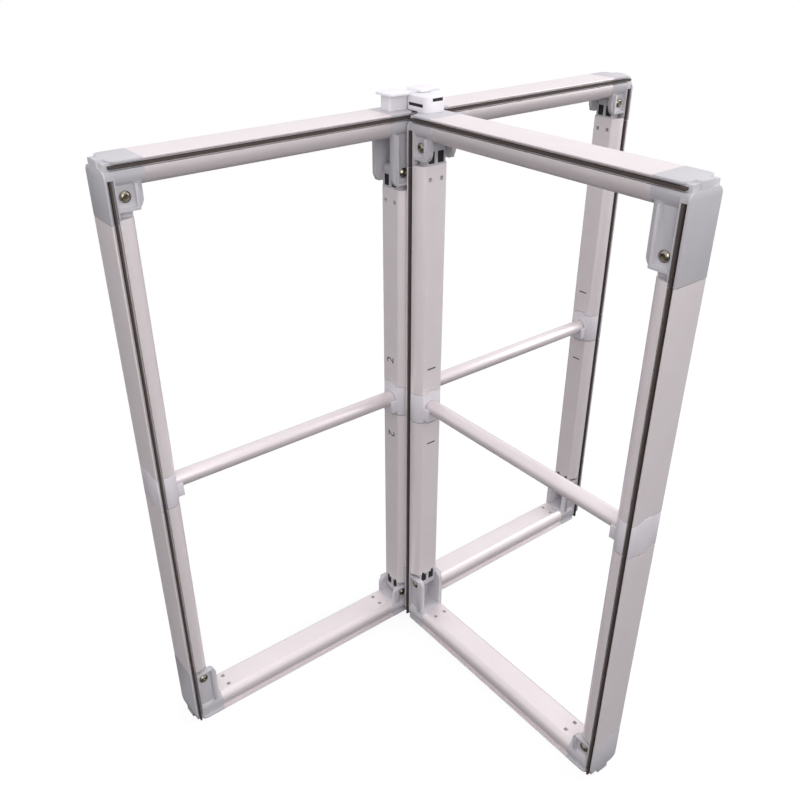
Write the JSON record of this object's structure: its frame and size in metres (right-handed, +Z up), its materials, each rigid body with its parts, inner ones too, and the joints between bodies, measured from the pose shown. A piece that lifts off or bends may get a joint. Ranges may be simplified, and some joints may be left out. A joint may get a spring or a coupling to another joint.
{
  "type": "folding display wall frame",
  "caption": "Folding display wall in a T: rectangular frames of grooved extrusion, hinged together, with folding posts, moulded corners and lift-out crossbars.",
  "frame": {"origin": "on the floor, in the middle of the plan's bounding box", "axes": "+Z up; +X along the two frames that stand in line, from the left frame to the rear one; the cross frame runs towards -Y"},
  "size_m": [0.774, 0.4399, 0.7904],
  "materials": {
    "extrusion": "satin anodised",
    "moulding": "light grey moulded",
    "steel": "bright plated",
    "white_moulding": "white moulded"
  },
  "bodies": {
    "left_top": {"left_top_bar": "extrusion", "left_top_short_corner": "moulding", "left_top_long_corner": "moulding", "left_top_screws": "steel", "left_link_block": "white_moulding"},
    "left_top_short_post": {"left_top_short_leg": "extrusion", "left_top_short_plug": "moulding"},
    "left_top_long_post": {"left_top_long_leg": "extrusion", "left_top_long_plug": "moulding"},
    "left_bottom": {"left_bottom_bar": "extrusion", "left_bottom_short_corner": "moulding", "left_bottom_long_corner": "moulding", "left_bottom_screws": "steel"},
    "left_bottom_short_post": {"left_bottom_short_leg": "extrusion", "left_bottom_short_plug": "moulding"},
    "left_bottom_long_post": {"left_bottom_long_leg": "extrusion", "left_bottom_long_plug": "moulding"},
    "left_mid": {"left_couplers": "moulding"},
    "left_rod": {"left_crossbar": "extrusion"},
    "right_top": {"right_top_bar": "extrusion", "right_top_short_corner": "moulding", "right_top_long_corner": "moulding", "right_top_screws": "steel", "right_link_block": "white_moulding"},
    "right_top_short_post": {"right_top_short_leg": "extrusion", "right_top_short_plug": "moulding"},
    "right_top_long_post": {"right_top_long_leg": "extrusion", "right_top_long_plug": "moulding"},
    "right_bottom": {"right_bottom_bar": "extrusion", "right_bottom_short_corner": "moulding", "right_bottom_long_corner": "moulding", "right_bottom_screws": "steel"},
    "right_bottom_short_post": {"right_bottom_short_leg": "extrusion", "right_bottom_short_plug": "moulding"},
    "right_bottom_long_post": {"right_bottom_long_leg": "extrusion", "right_bottom_long_plug": "moulding"},
    "right_mid": {"right_couplers": "moulding"},
    "right_rod": {"right_crossbar": "extrusion"},
    "rear_top": {"rear_top_bar": "extrusion", "rear_top_short_corner": "moulding", "rear_top_long_corner": "moulding", "rear_top_screws": "steel", "rear_link_block": "white_moulding", "hinge_pins_top": "steel"},
    "rear_top_short_post": {"rear_top_short_leg": "extrusion", "rear_top_short_plug": "moulding"},
    "rear_top_long_post": {"rear_top_long_leg": "extrusion", "rear_top_long_plug": "moulding"},
    "rear_bottom": {"rear_bottom_bar": "extrusion", "rear_bottom_short_corner": "moulding", "rear_bottom_long_corner": "moulding", "rear_bottom_screws": "steel", "hinge_pins_bottom": "steel"},
    "rear_bottom_short_post": {"rear_bottom_short_leg": "extrusion", "rear_bottom_short_plug": "moulding"},
    "rear_bottom_long_post": {"rear_bottom_long_leg": "extrusion", "rear_bottom_long_plug": "moulding"},
    "rear_mid": {"rear_couplers": "moulding"},
    "rear_rod": {"rear_crossbar": "extrusion"}
  },
  "joints": [
    {"name": "lift", "type": "slide", "parent": "left_bottom", "child": "left_top", "axis": [0, 0, 1], "range_m": [0, 0.06]},
    {"name": "left_mid_lift", "type": "slide", "parent": "left_bottom", "child": "left_mid", "axis": [0, 0, 1], "range_m": [0, 0.03]},
    {"name": "right_mid_lift", "type": "slide", "parent": "right_bottom", "child": "right_mid", "axis": [0, 0, 1], "range_m": [0, 0.03]},
    {"name": "rear_mid_lift", "type": "slide", "parent": "rear_bottom", "child": "rear_mid", "axis": [0, 0, 1], "range_m": [0, 0.03]},
    {"name": "rear_swing", "type": "hinge", "parent": "left_bottom", "child": "rear_bottom", "pos_m": [0, 0.21845, 0.022], "axis": [0, 0, 1], "range_deg": [0, 180]},
    {"name": "rear_top_swing", "type": "hinge", "parent": "left_top", "child": "rear_top", "pos_m": [0, 0.21845, 0.748], "axis": [0, 0, 1], "range_deg": [0, 180]},
    {"name": "right_swing", "type": "hinge", "parent": "rear_bottom", "child": "right_bottom", "pos_m": [0.0253, 0.16785, 0.022], "axis": [0, 0, 1], "range_deg": [0, 90]},
    {"name": "right_top_swing", "type": "hinge", "parent": "rear_top", "child": "right_top", "pos_m": [0.0253, 0.16785, 0.748], "axis": [0, 0, 1], "range_deg": [0, 90]},
    {"name": "left_top_short_fold", "type": "hinge", "parent": "left_top", "child": "left_top_short_post", "pos_m": [-0.367, 0.19315, 0.734], "axis": [0, -1, 0], "range_deg": [0, 90]},
    {"name": "left_top_long_fold", "type": "hinge", "parent": "left_top", "child": "left_top_long_post", "pos_m": [-0.021, 0.19315, 0.7], "axis": [0, 1, 0], "range_deg": [0, 90]},
    {"name": "left_bottom_short_fold", "type": "hinge", "parent": "left_bottom", "child": "left_bottom_short_post", "pos_m": [-0.021, 0.19315, 0.036], "axis": [0, -1, 0], "range_deg": [0, 90]},
    {"name": "left_bottom_long_fold", "type": "hinge", "parent": "left_bottom", "child": "left_bottom_long_post", "pos_m": [-0.367, 0.19315, 0.07], "axis": [0, 1, 0], "range_deg": [0, 90]},
    {"name": "left_rod_lift", "type": "slide", "parent": "left_mid", "child": "left_rod", "axis": [0, 0, 1], "range_m": [0, 0.04]},
    {"name": "right_top_short_fold", "type": "hinge", "parent": "right_top", "child": "right_top_short_post", "pos_m": [0, 0.14605, 0.734], "axis": [-1, 0, 0], "range_deg": [0, 90]},
    {"name": "right_top_long_fold", "type": "hinge", "parent": "right_top", "child": "right_top_long_post", "pos_m": [0, -0.19995, 0.7], "axis": [1, 0, 0], "range_deg": [0, 90]},
    {"name": "right_bottom_short_fold", "type": "hinge", "parent": "right_bottom", "child": "right_bottom_short_post", "pos_m": [0, -0.19995, 0.036], "axis": [-1, 0, 0], "range_deg": [0, 90]},
    {"name": "right_bottom_long_fold", "type": "hinge", "parent": "right_bottom", "child": "right_bottom_long_post", "pos_m": [0, 0.14605, 0.07], "axis": [1, 0, 0], "range_deg": [0, 90]},
    {"name": "right_rod_lift", "type": "slide", "parent": "right_mid", "child": "right_rod", "axis": [0, 0, 1], "range_m": [0, 0.04]},
    {"name": "rear_top_short_fold", "type": "hinge", "parent": "rear_top", "child": "rear_top_short_post", "pos_m": [0.367, 0.19315, 0.734], "axis": [0, 1, 0], "range_deg": [0, 90]},
    {"name": "rear_top_long_fold", "type": "hinge", "parent": "rear_top", "child": "rear_top_long_post", "pos_m": [0.021, 0.19315, 0.7], "axis": [0, -1, 0], "range_deg": [0, 90]},
    {"name": "rear_bottom_short_fold", "type": "hinge", "parent": "rear_bottom", "child": "rear_bottom_short_post", "pos_m": [0.021, 0.19315, 0.036], "axis": [0, 1, 0], "range_deg": [0, 90]},
    {"name": "rear_bottom_long_fold", "type": "hinge", "parent": "rear_bottom", "child": "rear_bottom_long_post", "pos_m": [0.367, 0.19315, 0.07], "axis": [0, -1, 0], "range_deg": [0, 90]},
    {"name": "rear_rod_lift", "type": "slide", "parent": "rear_mid", "child": "rear_rod", "axis": [0, 0, 1], "range_m": [0, 0.04]}
  ],
  "couplings": [
    {"joint": "left_mid_lift", "follows": "lift", "ratio": 0.5},
    {"joint": "right_mid_lift", "follows": "lift", "ratio": 0.5},
    {"joint": "rear_mid_lift", "follows": "lift", "ratio": 0.5},
    {"joint": "rear_top_swing", "follows": "rear_swing", "ratio": 1},
    {"joint": "right_top_swing", "follows": "right_swing", "ratio": 1}
  ]
}
